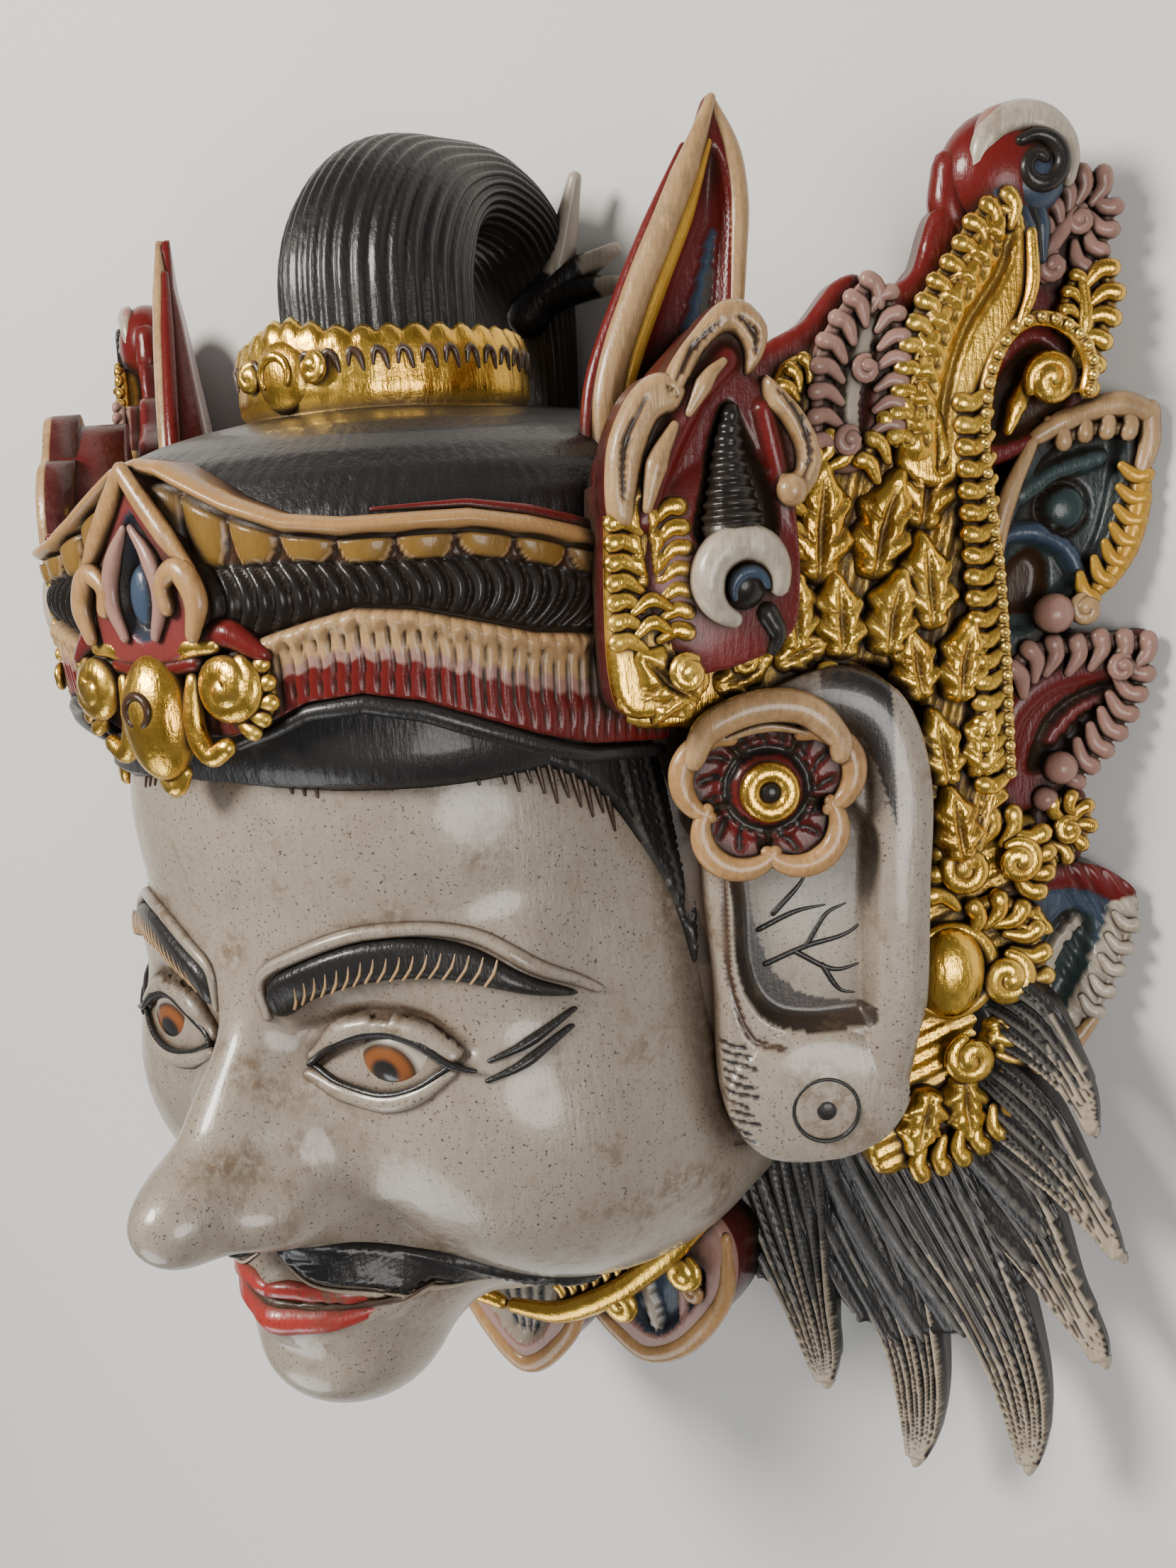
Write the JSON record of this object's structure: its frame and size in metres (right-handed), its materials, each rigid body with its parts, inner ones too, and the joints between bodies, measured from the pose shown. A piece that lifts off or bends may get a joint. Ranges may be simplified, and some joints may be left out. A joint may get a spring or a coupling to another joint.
{
  "type": "carved wooden mask",
  "caption": "Carved, painted and gilded wooden mask with side wings, pointed ears, topknot and flame-like locks, hollow behind and flat at the back.",
  "frame": {"origin": "middle of the mask's box, on the surface it lies on", "axes": "+Z out of the face, +Y to the crown, +X to the wearer's left"},
  "size_m": [0.2876, 0.2964, 0.1513],
  "materials": {
    "lacquer": "grey-white lacquer over wood, worn and grimy in the creases",
    "gold_leaf": "gold leaf over yellow ochre, on wood",
    "black_paint": "satin black paint rubbed to grey on the ridges",
    "red_paint": "dark red gloss paint",
    "cream_paint": "cream and ochre paint with dark antiquing",
    "bare_back": "plain stained wood at the back and inside"
  },
  "bodies": {
    "root": {"carved_mask": "lacquer"}
  },
  "joints": []
}
